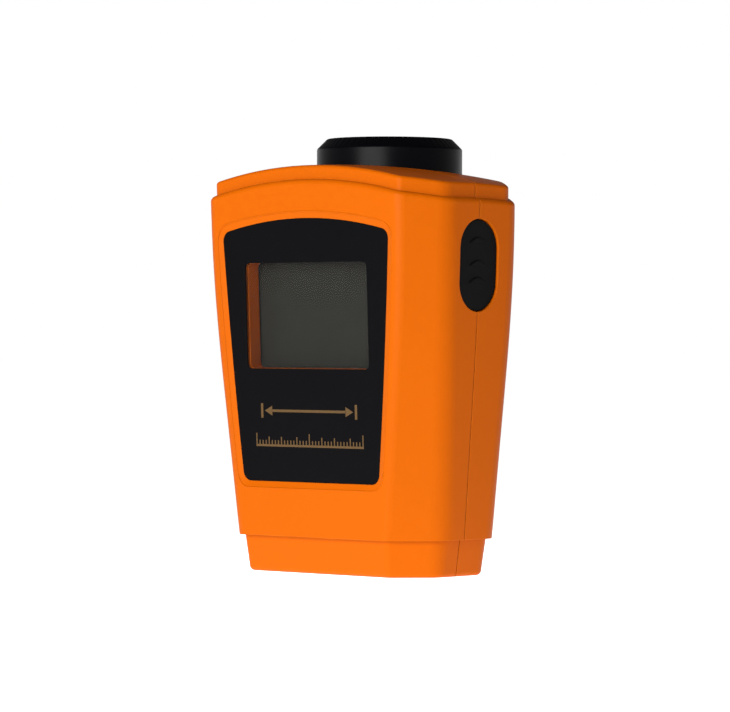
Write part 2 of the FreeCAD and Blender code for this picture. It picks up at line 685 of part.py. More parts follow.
def lead_path(points):
    """Straight runs joined by the largest arcs that fit, as one path."""
    edges = []
    start = points[0]
    for n in range(1, len(points) - 1):
        before = points[n] - points[n - 1]
        after = points[n + 1] - points[n]
        turn = before.getAngle(after)
        reach = 0.45 * min(before.Length, after.Length)
        radius = reach / math.tan(turn / 2)
        u, v = before.normalize(), after.normalize()
        first, last = points[n] - u * reach, points[n] + v * reach
        inward = (v - u).normalize()
        middle = points[n] + inward * radius * (1 / math.cos(turn / 2) - 1)
        edges.append(Part.LineSegment(start, first).toShape())
        edges.append(Part.Arc(first, middle, last).toShape())
        start = last
    edges.append(Part.LineSegment(start, points[-1]).toShape())
    return Part.Wire(edges)


def lead(points, radius):
    """An insulated wire along straight runs and arcs."""
    points = [Vector(*point) for point in points]
    path = lead_path(points)
    direction = points[1] - points[0]
    section = Part.Wire(Part.makeCircle(radius, points[0], direction))
    tube = path.makePipeShell([section], True, False)
    expected = math.pi * radius ** 2 * path.Length
    if abs(tube.Volume / expected - 1) > 0.02:
        raise RuntimeError("a lead's volume is wrong: %g against %g" % (tube.Volume, expected))
    return tube


def board_back(height):
    """Y of the main board's rear surface at a height."""
    tilt = math.radians(FACE_TILT)
    depth = float(d.board_depth + d.board_thickness)
    return -FACE_AT_FLOOR - height * math.tan(tilt) + depth / math.cos(tilt)


# ---------------------------------------------------------------- casing, button and door

OUTSIDE = casing_outside()
HOLLOW = cavity()

finish("front_shell", feature("front_half", front_shell_shape(OUTSIDE, HOLLOW)))
finish("rear_shell", feature("rear_half", rear_shell_shape(OUTSIDE, HOLLOW)))
finish("side_button", feature("button_key", button_shape()))
finish("battery_door", feature("bay_door", door_shape()))

# ---------------------------------------------------------------- face panel and display

PRINT_FRONT = float(d.bevel_depth)
LENS_FRONT = PRINT_FRONT + float(d.print_thickness)
print_layer = panel_plate(PRINT_FRONT, float(d.print_thickness), 0.08).cut(
    window_block(PRINT_FRONT - 1, 3))
finish("face_print", feature("print", print_layer), True)
finish("face_lens", feature("lens", panel_plate(LENS_FRONT, float(d.lens_thickness), 0.08)), True)

frame_front = d.face_wall + d.display_gap
glass_front = frame_front + d.frame_lip + d.display_gap
frame_back = d.board_depth - d.display_gap
glass_back = glass_front + d.glass_thickness
half_frame = d.glass_width / 2 + d.frame_wall
frame_block = box("frame_block", (-half_frame, frame_front, d.glass_low - d.frame_wall),
                  (half_frame * 2, frame_back - frame_front, d.glass_height + d.frame_wall * 2))
frame_round = rounded("frame_round", frame_block, 1.0,
                      lambda e: abs(e.Vertexes[0].Y - e.Vertexes[-1].Y) > 1)
frame_room = box("frame_room", (-d.glass_width / 2, glass_front - d.display_gap, d.glass_low),
                 (d.glass_width, 8, d.glass_height))
frame_view = box("frame_view", (-d.window_width / 2 - 0.4, frame_front - 1, d.window_low - 0.4),
                 (d.window_width + 0.8, 3, d.window_height + 0.8))
finish("lcd_frame", cut("frame", frame_round, frame_room, frame_view), True)

slack = 0.1
lcd_glass = box("glass", (-d.glass_width / 2 + slack, glass_front, d.glass_low + slack),
                (d.glass_width - 2 * slack, d.glass_thickness, d.glass_height - 2 * slack))
finish("lcd_glass", lcd_glass, True)

reflector_front = glass_back + d.display_gap
zebra_low = d.glass_low + 0.8
zebra_high = d.glass_low + d.glass_height - d.zebra_width - 0.8
lcd_reflector = box("reflector", (-d.zebra_length / 2, reflector_front, zebra_low + d.zebra_width + 0.5),
                    (d.zebra_length, d.reflector_thickness,
                     zebra_high - zebra_low - d.zebra_width - 1.0))
finish("lcd_reflector", lcd_reflector, True)

zebra_depth = d.board_depth - glass_back
zebras = [box("zebra_%d" % n, (-d.zebra_length / 2, glass_back, low),
              (d.zebra_length, zebra_depth, d.zebra_width))
          for n, low in enumerate((zebra_low, zebra_high), start=1)]
finish("zebra_strips", together("zebras", *zebras), True)

# ---------------------------------------------------------------- main board and what it carries

board = box("board", (-d.board_half, d.board_depth, d.board_low),
            (d.board_half * 2, d.board_thickness, d.board_high - d.board_low))
board_holes = [cylinder("board_hole_%d" % n, 1.05, 6, (x, 7.0, z), "Y")
               for n, (x, z) in enumerate(BOARD_POSTS, start=1)]
finish("main_pcb", cut("board_drilled", board, *board_holes), True)

rear_face = d.board_depth + d.board_thickness
chip = box("chip_block", (-12.5, rear_face, 38.0), (12.0, 1.8, 12.0))
finish("controller_chip", chip, True)

crystal_block = box("crystal_block", (3.0, rear_face, 41.0), (10.5, 3.6, 4.2))
finish("crystal", rounded("crystal_round", crystal_block, 1.9,
                          lambda e: abs(e.Vertexes[0].Y - e.Vertexes[-1].Y) > 1), True)

coil_core = box("coil_core", (-14.0, rear_face, 26.0), (9.0, 7.0, 8.0))
coil_legs = [box("coil_leg_%d" % n, (-15.0, rear_face, z), (11.0, 1.2, 1.2))
             for n, z in enumerate((27.2, 31.6), start=1)]
finish("step_up_transformer", together("coil", coil_core, *coil_legs), True)

cans = [cylinder("can_%d" % n, 2.5, 6.8, (x, rear_face, 29.0), "Y")
        for n, x in enumerate((5.0, 11.5), start=1)]
finish("electrolytic_capacitors", together("cans", *cans), True)

SMALL_PARTS = [(-18.0, 40.0), (-18.0, 44.0), (-18.0, 48.0), (-3.0, 53.5), (1.0, 53.5), (16.0, 36.0),
               (16.0, 40.0), (16.0, 44.0), (16.0, 48.0), (-11.0, 53.5), (-7.0, 53.5), (-1.0, 34.5)]
small_blocks = [box("small_part_%d" % n, (x, rear_face, z), (2.0, 0.8, 1.2))
                for n, (x, z) in enumerate(SMALL_PARTS, start=1)]
finish("smd_parts", together("small_parts", *small_blocks), True)

finish("thermistor", cylinder("bead", 1.2, 2.6, (17.0, rear_face, 60.0), "Y"), True)

buzzer_can = cylinder("buzzer_can", 5.5, 4.5, (10.0, rear_face, 62.0), "Y")
buzzer_hole = cylinder("buzzer_hole", 1.0, 2.0, (10.0, rear_face + 3.5, 62.0), "Y")
finish("buzzer", cut("buzzer_drilled", buzzer_can, buzzer_hole), True)

board_screws = []
for n, (x, z) in enumerate(BOARD_POSTS, start=1):
    head = cylinder("board_head_%d" % n, 1.7, 1.1, (x, rear_face, z), "Y")
    shank = cylinder("board_shank_%d" % n, BOARD_SCREW_RADIUS, 5.8, (x, rear_face - 5.7, z), "Y")
    cross = box("board_cross_%d" % n, (x - 0.9, rear_face + 0.5, z - 0.2), (1.8, 1, 0.4))
    board_screws.append(cut("board_screw_%d" % n, together("board_screw_blank_%d" % n, head, shank), cross))
finish("board_screws", together("board_screw_set", *board_screws), True)

# ---------------------------------------------------------------- horn and ultrasonic sensor

flange_top = d.flange_low + d.flange_thickness
rim = d.collar_radius - d.collar_chamfer
funnel_out = d.mouth_radius + 0.4
horn = turned("horn", [
    (d.socket_radius, d.socket_low), (d.socket_radius, d.throat_height),
    (d.throat_radius, d.throat_height), (d.mouth_radius, d.collar_top - 0.5),
    (funnel_out, d.collar_top), (rim, d.collar_top),
    (d.collar_radius, d.collar_top - d.collar_chamfer), (d.collar_radius, flange_top),
    (d.flange_radius, flange_top), (d.flange_radius, d.flange_low),
    (d.collar_radius - 1.5, d.flange_low), (d.collar_radius - 1.5, d.collar_top - 5.8),
    (d.mouth_radius - 0.2, d.collar_top - 5.8), (d.socket_radius + 1.2, d.throat_height + 1.2),
    (d.socket_radius + 1.2, d.socket_low)], y=d.horn_back)
finish("horn_collar", horn)

gasket = turned("gasket", [
    (d.collar_radius + 0.1, flange_top), (d.flange_radius, flange_top),
    (d.flange_radius, flange_top + d.gasket_thickness),
    (d.collar_radius + 0.1, flange_top + d.gasket_thickness)], y=d.horn_back)
finish("collar_gasket", gasket)

sensor_top = d.sensor_low + d.sensor_height
sleeve = turned("sleeve", [
    (d.sensor_radius + 0.05, d.socket_low + 0.2), (d.socket_radius - 0.05, d.socket_low + 0.2),
    (d.socket_radius - 0.05, d.throat_height - 0.1), (d.sensor_radius - 0.8, d.throat_height - 0.1),
    (d.sensor_radius - 0.8, sensor_top + 0.05), (d.sensor_radius + 0.05, sensor_top + 0.05)],
    y=d.horn_back)
finish("transducer_sleeve", sleeve)

can = turned("sensor_can", [
    (0, d.sensor_low), (d.sensor_radius, d.sensor_low), (d.sensor_radius, sensor_top),
    (d.sensor_radius - d.sensor_wall, sensor_top), (d.sensor_radius - d.sensor_wall, d.sensor_low + 1.2),
    (0, d.sensor_low + 1.2)], y=d.horn_back)
finish("transducer_can", can)

cone_low = d.sensor_low + 1.25
cone = turned("sensor_cone", [
    (0, cone_low), (4.6, cone_low), (4.6, cone_low + 2.4), (2.0, cone_low + 2.4),
    (4.4, cone_low + 6.0), (3.9, cone_low + 6.0), (1.2, cone_low + 2.8), (0, cone_low + 2.8)],
    y=d.horn_back)
finish("transducer_cone", cone)

mesh_plate = turned("sensor_mesh", [
    (0, sensor_top - 1.0), (d.sensor_radius - d.sensor_wall - 0.05, sensor_top - 1.0),
    (d.sensor_radius - d.sensor_wall - 0.05, sensor_top - 0.6), (0, sensor_top - 0.6)],
    y=d.horn_back)
finish("transducer_mesh", mesh_plate)

pins = [cylinder("sensor_pin_%d" % n, 0.4, 2.0, (x, d.horn_back, d.sensor_low - 2.0))
        for n, x in enumerate((-2.5, 2.5), start=1)]
finish("transducer_pins", together("sensor_pins", *pins))

# ---------------------------------------------------------------- laser pointer

barrel_outer = cylinder("barrel_outer", d.barrel_radius, d.barrel_length,
                        (0, -d.laser_front, d.barrel_low))
barrel_bore = cylinder("barrel_bore", d.barrel_bore, d.barrel_length,
                       (0, -d.laser_front, d.barrel_low + 1.2))
finish("laser_barrel", cut("barrel", barrel_outer, barrel_bore))
finish("laser_diode", cylinder("diode", d.barrel_bore - 0.05, 3.4,
                               (0, -d.laser_front, d.barrel_low + 1.2)))
finish("laser_lens", cylinder("collimator", d.barrel_bore - 0.05, 1.4,
                              (0, -d.laser_front, d.barrel_low + 8.6)))
finish("laser_window", cylinder("laser_pane", d.laser_window_radius, d.laser_window_thickness,
                                (0, -d.laser_front, LASER_WINDOW_LOW)))

# ---------------------------------------------------------------- button switch

switch_middle = d.button_height
half_side = d.switch_side / 2
switch_in = d.switch_board_out
switch_block = box("switch_block", (switch_in, d.parting - half_side, switch_middle - half_side),
                   (d.switch_out - switch_in, d.switch_side, d.switch_side))
switch_bore = cylinder("switch_bore", d.plunger_radius + 0.1, 4,
                       (d.switch_out - 1.9, d.parting, switch_middle), "X")
finish("switch_body", cut("switch_case", switch_block, switch_bore))
finish("switch_plunger", cylinder("plunger", d.plunger_radius, d.switch_tip - d.switch_out + 0.9,
                                  (d.switch_out - 0.9, d.parting, switch_middle), "X"))
finish("switch_board", box("switch_plate", (SWITCH_BOARD_IN, -13.1, 65.6),
                           (SWITCH_BOARD_THICKNESS, 17.2, 14.6)))

# ---------------------------------------------------------------- battery

battery_middle = d.battery_front + d.battery_deep / 2
battery_top = d.battery_low + d.battery_tall
battery_block = box("battery_block", (-d.battery_width / 2, d.battery_front, d.battery_low),
                    (d.battery_width, d.battery_deep, d.battery_tall))
finish("battery_case", rounded("battery_round", battery_block, 2.2, upright))
TERMINAL_ACROSS = 6.35
plus = cylinder("plus_stud", 2.9, 2.0, (-TERMINAL_ACROSS, battery_middle, battery_top))
minus_cup = cylinder("minus_cup", 4.1, 2.0, (TERMINAL_ACROSS, battery_middle, battery_top))
minus_hollow = cylinder("minus_hollow", 3.1, 2.0, (TERMINAL_ACROSS, battery_middle, battery_top + 0.4))
finish("battery_terminals", together("studs", plus, cut("minus_stud", minus_cup, minus_hollow)))

cap_low = battery_top + 2.0
cap_block = box("cap_block", (-12, battery_middle - 6.0, cap_low), (24, 12, 3.8))
finish("snap_connector", rounded("cap_round", cap_block, 2.0, upright))

# The foam fills the wedge between the battery and the sloping inside of the door.
FOAM_HALF = 9.0
FOAM_HEIGHTS = (30.0, 46.0)
foam_front = float(d.battery_front + d.battery_deep) + 0.15
foam = block((-FOAM_HALF, FOAM_HALF), (foam_front, PAST_BACK), FOAM_HEIGHTS)
finish("battery_foam", feature("foam", foam.common(casing_outside(float(d.door_thickness)))))

LEAD_RADIUS = 0.65
CAP_FACE = float(battery_middle) - 6.0
battery_routes = {
    "battery_lead_red": (LEAD_ACROSS[0], -7.5),
    "battery_lead_black": (LEAD_ACROSS[1], 0.5),
}
for name, (x, board_x) in battery_routes.items():
    low = 57.0
    points = [(x, CAP_FACE, LEAD_EXIT_HEIGHT), (x, -3.4, LEAD_EXIT_HEIGHT), (board_x, -8.2, low),
              (board_x, board_back(low) + 0.1, low)]
    finish(name, feature(name + "_wire", lead(points, LEAD_RADIUS)))

SIGNAL_RADIUS = 0.45
pin_low = float(d.sensor_low) - 2.0
sensor_y = float(d.horn_back)
sensor_leads = []
for side in (-1, 1):
    height = 70.6
    points = [(2.5 * side, sensor_y, pin_low), (2.5 * side, sensor_y, height),
              (2.5 * side, -4.0, height), (3.5 * side, -9.0, height - 1.6),
              (3.5 * side, board_back(height - 1.6) + 0.1, height - 1.6)]
    sensor_leads.append(lead(points, SIGNAL_RADIUS))
finish("transducer_leads", feature("sensor_wires", Part.makeCompound(sensor_leads)))

LASER_LEAD_RADIUS = 0.3
laser_y = -float(d.laser_front)
laser_leads = []
for side in (-1, 1):
    x = 0.9 * side
    points = [(x, laser_y + 1.2, float(d.barrel_low)), (x, laser_y + 1.2, 80.3), (x, -10.4, 80.3),
              (x, -10.4, 75.4), (x, board_back(75.4) + 0.1, 75.4)]
    laser_leads.append(lead(points, LASER_LEAD_RADIUS))
finish("laser_leads", feature("laser_wires", Part.makeCompound(laser_leads)))

switch_leads = []
for height in (71.0, 74.0):
    points = [(SWITCH_BOARD_IN, -7.6, height), (18.5, -7.6, height),
              (16.5, board_back(height) + 0.1, height)]
    switch_leads.append(lead(points, SIGNAL_RADIUS))
finish("switch_leads", feature("switch_wires", Part.makeCompound(switch_leads)))

# ---------------------------------------------------------------- case screws

screws = []
for n, (x, z) in enumerate(CASE_SCREWS, start=1):
    head = cylinder("case_head_%d" % n, d.screw_head_radius, 2.0, (x, d.screw_head_y, z), "Y")
    shank = cylinder("case_shank_%d" % n, d.screw_radius, d.screw_length,
                     (x, d.screw_head_y - d.screw_length + 0.1, z), "Y")
    slots = [box("case_slot_a_%d" % n, (x - 1.2, d.screw_head_y + 0.9, z - 0.25), (2.4, 2, 0.5)),
             box("case_slot_b_%d" % n, (x - 0.25, d.screw_head_y + 0.9, z - 1.2), (0.5, 2, 2.4))]
    screws.append(cut("case_screw_%d" % n, together("case_blank_%d" % n, head, shank), *slots))
finish("case_screws", together("case_screw_set", *screws))

# ---------------------------------------------------------------- write the pieces

doc.recompute()
for item in doc.Objects:
    if "Invalid" in item.State or "Error" in item.State:
        raise RuntimeError("%s could not be worked out: %s" % (item.Name, item.State))

os.makedirs("parts", exist_ok=True)
for item in finished:
    shape = item.Shape
    if shape.isNull() or not shape.isValid():
        raise RuntimeError("%s has no valid shape" % item.Label)
    shape.exportStep(os.path.join("parts", item.Label + ".step"))
    box_of = shape.BoundBox
    print("%-26s %2d solid(s) %9.1f mm3  X %6.1f %6.1f  Y %6.1f %6.1f  Z %6.1f %6.1f" % (
        item.Label, len(shape.Solids), shape.Volume, box_of.XMin, box_of.XMax,
        box_of.YMin, box_of.YMax, box_of.ZMin, box_of.ZMax))
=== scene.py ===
import json
import math

import bpy
from mathutils import Matrix, Vector


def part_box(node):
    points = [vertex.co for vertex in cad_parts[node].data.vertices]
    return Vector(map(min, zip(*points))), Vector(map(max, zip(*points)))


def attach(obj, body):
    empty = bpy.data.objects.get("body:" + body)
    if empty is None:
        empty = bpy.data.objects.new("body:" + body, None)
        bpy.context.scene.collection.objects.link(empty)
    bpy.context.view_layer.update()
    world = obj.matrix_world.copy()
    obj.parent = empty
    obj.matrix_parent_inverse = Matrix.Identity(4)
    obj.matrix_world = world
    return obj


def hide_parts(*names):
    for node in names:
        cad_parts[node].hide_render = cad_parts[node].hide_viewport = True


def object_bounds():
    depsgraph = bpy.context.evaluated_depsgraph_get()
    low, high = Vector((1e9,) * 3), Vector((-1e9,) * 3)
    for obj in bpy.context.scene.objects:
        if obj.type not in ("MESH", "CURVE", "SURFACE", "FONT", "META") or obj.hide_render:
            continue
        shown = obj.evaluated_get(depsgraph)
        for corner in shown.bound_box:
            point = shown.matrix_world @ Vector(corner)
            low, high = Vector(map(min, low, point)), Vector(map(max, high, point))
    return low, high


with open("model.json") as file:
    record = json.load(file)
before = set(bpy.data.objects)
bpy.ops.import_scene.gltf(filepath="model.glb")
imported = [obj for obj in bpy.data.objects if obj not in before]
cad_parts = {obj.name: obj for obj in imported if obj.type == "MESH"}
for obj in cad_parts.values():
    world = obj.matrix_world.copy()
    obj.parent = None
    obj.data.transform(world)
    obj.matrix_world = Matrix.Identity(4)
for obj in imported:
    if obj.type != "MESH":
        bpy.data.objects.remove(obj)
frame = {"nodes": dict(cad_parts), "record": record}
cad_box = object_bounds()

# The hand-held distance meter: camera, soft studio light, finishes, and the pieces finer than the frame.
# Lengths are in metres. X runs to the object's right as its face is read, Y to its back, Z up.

MM = 0.001

# Where the display face lies: it leans, so its top stands further out than its foot.
FACE_TILT = math.radians(2.478)
FACE_AT_FLOOR = -21.028 * MM

# How far the printed panel lies behind the face, and how far the ink stands up from it.
PRINT_DEPTH = 0.5 * MM
INK_THICKNESS = 0.04 * MM

# A height near the object's middle: the light is placed round it and faces it.
MIDDLE_HEIGHT = 0.055


# ---------------------------------------------------------------- camera

def add_camera():
    """A long lens, about level with the object's middle, off its front right corner."""
    eye = Vector((0.6139, -0.6825, 0.0550))
    aim = Vector((-0.00135, -0.00121, 0.0508))
    roll = math.radians(0.16)
    camera = bpy.data.cameras.new("camera")
    camera.lens = 191.5
    camera.sensor_width = 36.0
    camera.clip_start = 0.01
    camera.clip_end = 50.0
    holder = bpy.data.objects.new("camera", camera)
    bpy.context.scene.collection.objects.link(holder)
    holder.location = eye
    turn = (aim - eye).to_track_quat("-Z", "Y").to_matrix().to_4x4()
    spin = Matrix.Rotation(roll, 4, "Z")
    holder.rotation_mode = "QUATERNION"
    holder.rotation_quaternion = (turn @ spin).to_quaternion()
    bpy.context.scene.camera = holder


# ---------------------------------------------------------------- light and floor

def towards(azimuth, elevation, distance):
    """A point seen from the object's middle at an azimuth from its front, an elevation and a distance."""
    a, e = math.radians(azimuth), math.radians(elevation)
    flat = distance * math.cos(e)
    return Vector((flat * math.sin(a), -flat * math.cos(a), MIDDLE_HEIGHT + distance * math.sin(e)))


def add_softbox(name, azimuth, elevation, distance, width, height, power):
    """A rectangular soft light that faces the object's middle."""
    light = bpy.data.lights.new(name, "AREA")
    light.shape = "RECTANGLE"
    light.size = width
    light.size_y = height
    light.energy = power
    holder = bpy.data.objects.new(name, light)
    bpy.context.scene.collection.objects.link(holder)
    holder.location = towards(azimuth, elevation, distance)
    middle = Vector((0, 0, MIDDLE_HEIGHT))
    holder.rotation_mode = "QUATERNION"
    holder.rotation_quaternion = (middle - holder.location).to_track_quat("-Z", "Y")


def add_surroundings():
    """A pale studio: white near the horizon, dimmer overhead."""
    world = bpy.data.worlds.new("studio")
    bpy.context.scene.world = world
    world.use_nodes = True
    nodes, links = world.node_tree.nodes, world.node_tree.links
    background = nodes["Background"]
    white_up_to, dim_from, dimmed = 5.6, 15, 0.12
    where = nodes.new("ShaderNodeTexCoord")
    split = nodes.new("ShaderNodeSeparateXYZ")
    fade = nodes.new("ShaderNodeMapRange")
    fade.interpolation_type = "SMOOTHSTEP"
    fade.inputs["From Min"].default_value = math.sin(math.radians(white_up_to))
    fade.inputs["From Max"].default_value = math.sin(math.radians(dim_from))
    fade.inputs["To Min"].default_value = 1.0
    fade.inputs["To Max"].default_value = dimmed
    links.new(where.outputs["Generated"], split.inputs[0])
    links.new(split.outputs["Z"], fade.inputs["Value"])
    links.new(fade.outputs["Result"], background.inputs["Color"])
    background.inputs["Strength"].default_value = 1.0


def add_floor():
    """A plain pale sheet that glows like a lit product table, with a painted pool of light brightest near the
    object.
    """
    level = cad_box[0].z - 0.05 * MM
    rings = [0.0, 0.3, 1.0, 8.0]
    sides = 96
    sheet = (0.70, 0.70, 0.70)
    near, painted_pool_glow, far, far_glow = 0.05, 1.75, 0.25, 0.90
    points = [(0.0, 0.0, level)]
    for ring in rings[1:]:
        for n in range(sides):
            angle = 2 * math.pi * n / sides
            points.append((ring * math.cos(angle), ring * math.sin(angle), level))
    faces = [(0, 1 + n, 1 + (n + 1) % sides) for n in range(sides)]
    for ring in range(len(rings) - 2):
        start = 1 + ring * sides
        for n in range(sides):
            after = (n + 1) % sides
            faces.append((start + n, start + sides + n, start + sides + after, start + after))
    mesh = bpy.data.meshes.new("floor")
    mesh.from_pydata(points, [], faces)
    floor = bpy.data.objects.new("floor", mesh)
    bpy.context.scene.collection.objects.link(floor)
    paper = Finish("floor_paper", sheet, 0.9, specular=0.0)
    fibre = paper.spread(paper.noise(900, 3), 0.985, 1.0)
    paper.colour(paper.shaded(fibre, sheet))
    distance = paper.node("ShaderNodeVectorMath", operation="LENGTH")
    paper.link(paper.where, distance.inputs[0])
    # Painted pool of light: the floor's emission is strongest round the object and fades to an even level
    # further out.
    glow_with_painted_pool = paper.spread(distance.outputs["Value"], painted_pool_glow, far_glow, near, far)
    paper.link(glow_with_painted_pool, paper.shader.inputs["Emission Strength"])
    paper.shader.inputs["Emission Color"].default_value = (1, 1, 1, 1)
    mesh.materials.append(paper.material)


# ---------------------------------------------------------------- finishes

class Finish:
    """One procedural material: a Principled shader and the few nodes that vary it over the surface."""

    def __init__(self, name, colour, roughness, specular=0.5, metallic=0.0):
        self.material = bpy.data.materials.new(name)
        self.material.use_nodes = True
        self.tree = self.material.node_tree
        self.shader = self.tree.nodes["Principled BSDF"]
        self.shader.inputs["Base Color"].default_value = (*colour, 1)
        self.shader.inputs["Roughness"].default_value = roughness
        self.shader.inputs["Specular IOR Level"].default_value = specular
        self.shader.inputs["Metallic"].default_value = metallic
        self.where = self.tree.nodes.new("ShaderNodeTexCoord").outputs["Object"]

    def node(self, kind, **settings):
        """A new node with its own properties set."""
        made = self.tree.nodes.new(kind)
        for name, value in settings.items():
            setattr(made, name, value)
        return made

    def link(self, start, end):
        """Join two sockets."""
        self.tree.links.new(start, end)

    def stretched(self, scale):
        """The surface's own coordinates, scaled apart along each axis."""
        mapping = self.node("ShaderNodeMapping")
        mapping.inputs["Scale"].default_value = scale
        self.link(self.where, mapping.inputs["Vector"])
        return mapping.outputs["Vector"]

    def noise(self, scale, detail=3.0, where=None):
        """Soft noise; a feature is about 1 / scale metres across."""
        made = self.node("ShaderNodeTexNoise")
        made.inputs["Scale"].default_value = scale
        made.inputs["Detail"].default_value = detail
        self.link(where or self.where, made.inputs["Vector"])
        return made.outputs["Fac"]

    def cells(self, scale, feature="F1"):
        """Distance from the middle, or to the edge, of scattered cells."""
        made = self.node("ShaderNodeTexVoronoi", feature=feature)
        made.inputs["Scale"].default_value = scale
        self.link(self.where, made.inputs["Vector"])
        return made.outputs["Distance"]

    def bands(self, scale, axis):
        """Even stripes across one axis."""
        made = self.node("ShaderNodeTexWave", bands_direction=axis, wave_profile="SIN")
        made.inputs["Scale"].default_value = scale
        self.link(self.where, made.inputs["Vector"])
        return made.outputs["Fac"]

    def along(self, axis):
        """One coordinate of the surface, in metres."""
        split = self.node("ShaderNodeSeparateXYZ")
        self.link(self.where, split.inputs[0])
        return split.outputs[axis]

    def spread(self, value, low, high, start=0.25, end=0.75):
        """A value from start to end turned into one from low to high."""
        made = self.node("ShaderNodeMapRange")
        for name, number in (("From Min", start), ("From Max", end), ("To Min", low), ("To Max", high)):
            made.inputs[name].default_value = number
        self.link(value, made.inputs["Value"])
        return made.outputs["Result"]

    def sum(self, first, second, operation="ADD"):
        """Two values added, or put together by another operation."""
        made = self.node("ShaderNodeMath", operation=operation)
        self.link(first, made.inputs[0])
        self.link(second, made.inputs[1])
        return made.outputs[0]

    def mixed(self, factor, first, second):
        """A colour between two; each is a colour or a socket."""
        made = self.node("ShaderNodeMix", data_type="RGBA")
        self.link(factor, made.inputs["Factor"])
        for socket, colour in ((made.inputs[6], first), (made.inputs[7], second)):
            if isinstance(colour, tuple):
                socket.default_value = (*colour, 1)
            else:
                self.link(colour, socket)
        return made.outputs[2]

    def shaded(self, share, colour):
        """A colour made darker by a share that varies over the surface."""
        return self.mixed(share, (0.0, 0.0, 0.0), colour)

    # Edge mask for the paler edges of moulded plastic: partly worn plastic, partly a painted highlight.
    def edge_wear_and_highlight_mask(self, radius):
        """Near 1 along outside and inside edges, near 0 on open faces."""
        soft = self.node("ShaderNodeBevel", samples=6)
        soft.inputs["Radius"].default_value = radius
        plain = self.node("ShaderNodeNewGeometry")
        likeness = self.node("ShaderNodeVectorMath", operation="DOT_PRODUCT")
        self.link(soft.outputs[0], likeness.inputs[0])
        self.link(plain.outputs["Normal"], likeness.inputs[1])
        return self.spread(likeness.outputs["Value"], 1.0, 0.0, 0.8, 1.0)

    def colour(self, socket):
        """Take the base colour from a socket."""
        self.link(socket, self.shader.inputs["Base Color"])

    def roughness(self, socket):
        """Take the roughness from a socket."""
        self.link(socket, self.shader.inputs["Roughness"])

    def relief(self, height, depth, edge_radius=0.0):
        """Bumps of a depth in metres, with the sharp edges seen as slightly round."""
        bump = self.node("ShaderNodeBump")
        bump.inputs["Distance"].default_value = depth
        bump.inputs["Strength"].default_value = 1.0
        self.link(height, bump.inputs["Height"])
        if edge_radius:
            soft = self.node("ShaderNodeBevel", samples=6)
            soft.inputs["Radius"].default_value = edge_radius
            self.link(soft.outputs[0], bump.inputs["Normal"])
        self.link(bump.outputs[0], self.shader.inputs["Normal"])


def moulded(name, colour, roughness, specular=0.5, grain=2600, depth=0.006 * MM, edge_wear_and_highlight_strength=0.12, edge=0.15 * MM,
            pale=None):
    """Moulded plastic: a fine spark-eroded grain, faint flow shading, and paler edges, partly worn and partly
    a painted highlight.
    """
    made = Finish(name, colour, roughness, specular)
    flow = made.spread(made.noise(22, 2), 0.95, 1.0)
    mottle = made.spread(made.noise(420, 4), 0.97, 1.0)
    body = made.shaded(made.sum(flow, mottle, "MULTIPLY"), colour)
    # Paler colour along edges: partly worn plastic, partly a painted highlight where the rounded edges would
    # catch the light.
    pale = pale or tuple(min(1.0, channel * 1.25 + 0.02) for channel in colour)
    worn_and_highlit_edges = made.sum(made.edge_wear_and_highlight_mask(edge), made.spread(made.noise(260, 3), 0.0, edge_wear_and_highlight_strength * 2), "MULTIPLY")
    made.colour(made.mixed(worn_and_highlit_edges, body, pale))
    fine = made.noise(grain, 2)
    made.roughness(made.spread(made.noise(180, 4), roughness * 0.9, roughness * 1.1))
    made.relief(fine, depth, edge)
    return made.material


def rubber(name, colour, roughness=0.75, specular=0.3, grain=1500, depth=0.02 * MM, dust=0.1):
    """Soft rubber or foam: a matt, pitted skin that holds a little dust."""
    made = Finish(name, colour, roughness, specular)
    settled = made.spread(made.noise(90, 5), 0.0, dust)
    grey = tuple(channel * 0.8 + 0.03 for channel in colour)
    made.colour(made.mixed(settled, colour, grey))
    made.roughness(made.spread(made.noise(300, 3), roughness * 0.92, min(1.0, roughness * 1.08)))
    made.relief(made.cells(grain), depth, 0.2 * MM)
    return made.material


def metal(name, colour, roughness=0.3, stretch=(1.0, 1.0, 12.0), scale=900):
    """Drawn, turned or plated metal: fine lines along the working direction and a few dull patches."""
    made = Finish(name, colour, roughness, metallic=1.0)
    dull = made.spread(made.noise(140, 4), 0.0, 0.5, 0.45, 0.75)
    tired = tuple(channel * 0.72 for channel in colour)
    made.colour(made.mixed(dull, colour, tired))
    lines = made.noise(scale, 3, made.stretched(stretch))
    made.roughness(made.spread(lines, roughness * 0.75, roughness * 1.35))
    made.relief(lines, 0.003 * MM, 0.08 * MM)
    return made.material


def insulation(name, colour):
    """The soft plastic round a thin wire, with faint lengthwise flow marks."""
    made = Finish(name, colour, 0.45)
    flow = made.noise(700, 3)
    made.colour(made.shaded(made.spread(flow, 0.82, 1.0), colour))
    made.roughness(made.spread(made.noise(250, 2), 0.36, 0.55))
    made.relief(flow, 0.01 * MM)
    return made.material


def display_finish():
    """The liquid crystal cell: grey green, faintly mottled, with a fine sparkle from the rear foil."""
    colour = (0.033, 0.034, 0.027)
    made = Finish("display", colour, 0.22, specular=0.08)
    foil = made.spread(made.noise(5200, 2), 0.94, 1.0)
    cloud = made.spread(made.noise(55, 3), 0.88, 1.0)
    made.colour(made.shaded(made.sum(foil, cloud, "MULTIPLY"), colour))
    made.roughness(made.spread(made.noise(600, 2), 0.18, 0.28))
    made.relief(made.noise(70, 2), 0.01 * MM, 0.1 * MM)
    return made.material


def clear_finish(name, tint, cover, roughness=0.06, specular=0.1):
    """A clear or smoked plastic pane: mostly see-through, with faint moulding waves."""
    made = Finish(name, tint, roughness, specular)
    made.shader.inputs["Alpha"].default_value = cover
    made.colour(made.shaded(made.spread(made.noise(120, 3), 0.85, 1.0), tint))
    made.roughness(made.spread(made.noise(400, 3), roughness * 0.8, roughness * 1.6))
    made.relief(made.noise(60, 2), 0.01 * MM)
    return made.material


